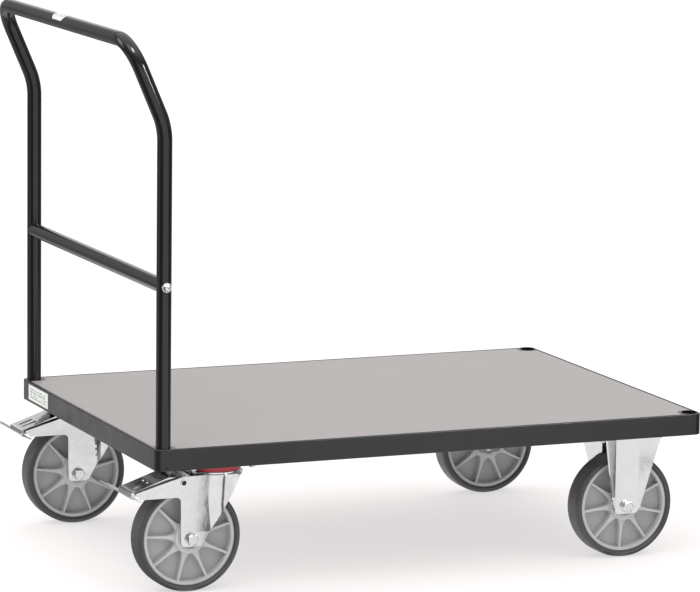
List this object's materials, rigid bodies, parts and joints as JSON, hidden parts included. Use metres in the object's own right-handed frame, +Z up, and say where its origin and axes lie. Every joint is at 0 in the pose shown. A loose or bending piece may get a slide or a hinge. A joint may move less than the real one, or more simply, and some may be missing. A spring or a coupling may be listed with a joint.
{
  "type": "platform cart",
  "caption": "Flat platform cart with a grey board in a steel frame, a plug-in push bow with a crossbar, braked swivel castors under the bow and fixed castors at the front.",
  "frame": {"origin": "on the floor, under the middle of the whole cart's length and width", "axes": "+X forward along the length, away from the push bow; +Y to the left for someone pushing; +Z up"},
  "size_m": [1.056, 0.734, 0.9363],
  "materials": {
    "frame_paint": "satin dark grey powder coat",
    "tube_paint": "semi-gloss near-black powder coat",
    "board": "matt light grey melamine face on a wood board",
    "black_plastic": "moulded satin black",
    "label_film": "satin white film",
    "seal_red": "moulded red",
    "zinc_sheet": "bright zinc plated pressed sheet",
    "zinc_hardware": "bright zinc plated",
    "spring_steel": "oiled spring wire",
    "brake_steel": "zinc plated shoe",
    "wheel_centre": "moulded grey nylon",
    "tyre": "dark grey elastic rubber",
    "bearing_steel": "ground steel"
  },
  "bodies": {
    "platform": {"side_rail_left": "frame_paint", "side_rail_right": "frame_paint", "end_rail_rear": "frame_paint", "end_rail_front": "frame_paint", "corner_sockets_rear": "frame_paint", "corner_sockets_front": "frame_paint", "castor_bearer_rear": "frame_paint", "castor_bearer_front": "frame_paint", "centre_bearer": "frame_paint", "deck_board": "board", "board_screws": "zinc_hardware", "socket_plugs": "black_plastic", "bow_clamp_screws": "frame_paint", "rating_label": "label_film", "castor_plate_bolts": "zinc_hardware", "castor_plate_nuts": "zinc_hardware", "swivel_plate_left": "zinc_sheet", "swivel_plate_right": "zinc_sheet", "seal_rings": "seal_red", "king_pins": "zinc_hardware", "fixed_fork_left": "zinc_sheet", "fixed_fork_right": "zinc_sheet", "fixed_axle_bolts": "zinc_hardware", "fixed_axle_nuts": "zinc_hardware", "fixed_axle_bushes": "zinc_hardware"},
    "bow": {"push_bow": "tube_paint", "crossbar": "tube_paint", "crossbar_inserts": "zinc_hardware", "crossbar_screws": "zinc_hardware", "crossbar_washers": "zinc_hardware", "bow_end_plugs": "black_plastic", "handle_label": "label_film"},
    "swivel_castor_right": {"swivel_fork_right": "zinc_sheet", "swivel_axle_bolt_right": "zinc_hardware", "swivel_axle_nut_right": "zinc_hardware", "swivel_axle_bush_right": "zinc_hardware", "pedal_pin_right": "zinc_hardware"},
    "brake_right": {"brake_pedal_right": "zinc_sheet", "brake_shoe_right": "brake_steel", "pedal_spring_right": "spring_steel"},
    "rear_wheel_right": {"swivel_right_rim": "wheel_centre", "swivel_right_tyre": "tyre", "swivel_right_bearings": "bearing_steel"},
    "front_wheel_right": {"fixed_right_rim": "wheel_centre", "fixed_right_tyre": "tyre", "fixed_right_bearings": "bearing_steel"},
    "swivel_castor_left": {"swivel_fork_left": "zinc_sheet", "swivel_axle_bolt_left": "zinc_hardware", "swivel_axle_nut_left": "zinc_hardware", "swivel_axle_bush_left": "zinc_hardware", "pedal_pin_left": "zinc_hardware"},
    "brake_left": {"brake_pedal_left": "zinc_sheet", "brake_shoe_left": "brake_steel", "pedal_spring_left": "spring_steel"},
    "rear_wheel_left": {"swivel_left_rim": "wheel_centre", "swivel_left_tyre": "tyre", "swivel_left_bearings": "bearing_steel"},
    "front_wheel_left": {"fixed_left_rim": "wheel_centre", "fixed_left_tyre": "tyre", "fixed_left_bearings": "bearing_steel"}
  },
  "joints": [
    {"name": "bow_lift", "type": "slide", "parent": "platform", "child": "bow", "axis": [0, 0, 1], "range_m": [0, 0.04]},
    {"name": "swivel_turn_right", "type": "hinge", "parent": "platform", "child": "swivel_castor_right", "pos_m": [-0.347, -0.286, 0.2], "axis": [0, 0, 1], "continuous": true},
    {"name": "rear_wheel_spin_right", "type": "hinge", "parent": "swivel_castor_right", "child": "rear_wheel_right", "pos_m": [-0.397, -0.286, 0.091], "axis": [0, 1, 0], "continuous": true},
    {"name": "brake_press_right", "type": "hinge", "parent": "swivel_castor_right", "child": "brake_right", "pos_m": [-0.4146, -0.286, 0.1892], "axis": [0, -1, 0], "range_deg": [0, 6.7]},
    {"name": "front_wheel_spin_right", "type": "hinge", "parent": "platform", "child": "front_wheel_right", "pos_m": [0.403, -0.286, 0.091], "axis": [0, 1, 0], "continuous": true},
    {"name": "swivel_turn_left", "type": "hinge", "parent": "platform", "child": "swivel_castor_left", "pos_m": [-0.347, 0.286, 0.2], "axis": [0, 0, 1], "continuous": true},
    {"name": "rear_wheel_spin_left", "type": "hinge", "parent": "swivel_castor_left", "child": "rear_wheel_left", "pos_m": [-0.397, 0.286, 0.091], "axis": [0, 1, 0], "continuous": true},
    {"name": "brake_press_left", "type": "hinge", "parent": "swivel_castor_left", "child": "brake_left", "pos_m": [-0.4146, 0.286, 0.1892], "axis": [0, -1, 0], "range_deg": [0, 6.7]},
    {"name": "front_wheel_spin_left", "type": "hinge", "parent": "platform", "child": "front_wheel_left", "pos_m": [0.403, 0.286, 0.091], "axis": [0, 1, 0], "continuous": true}
  ]
}
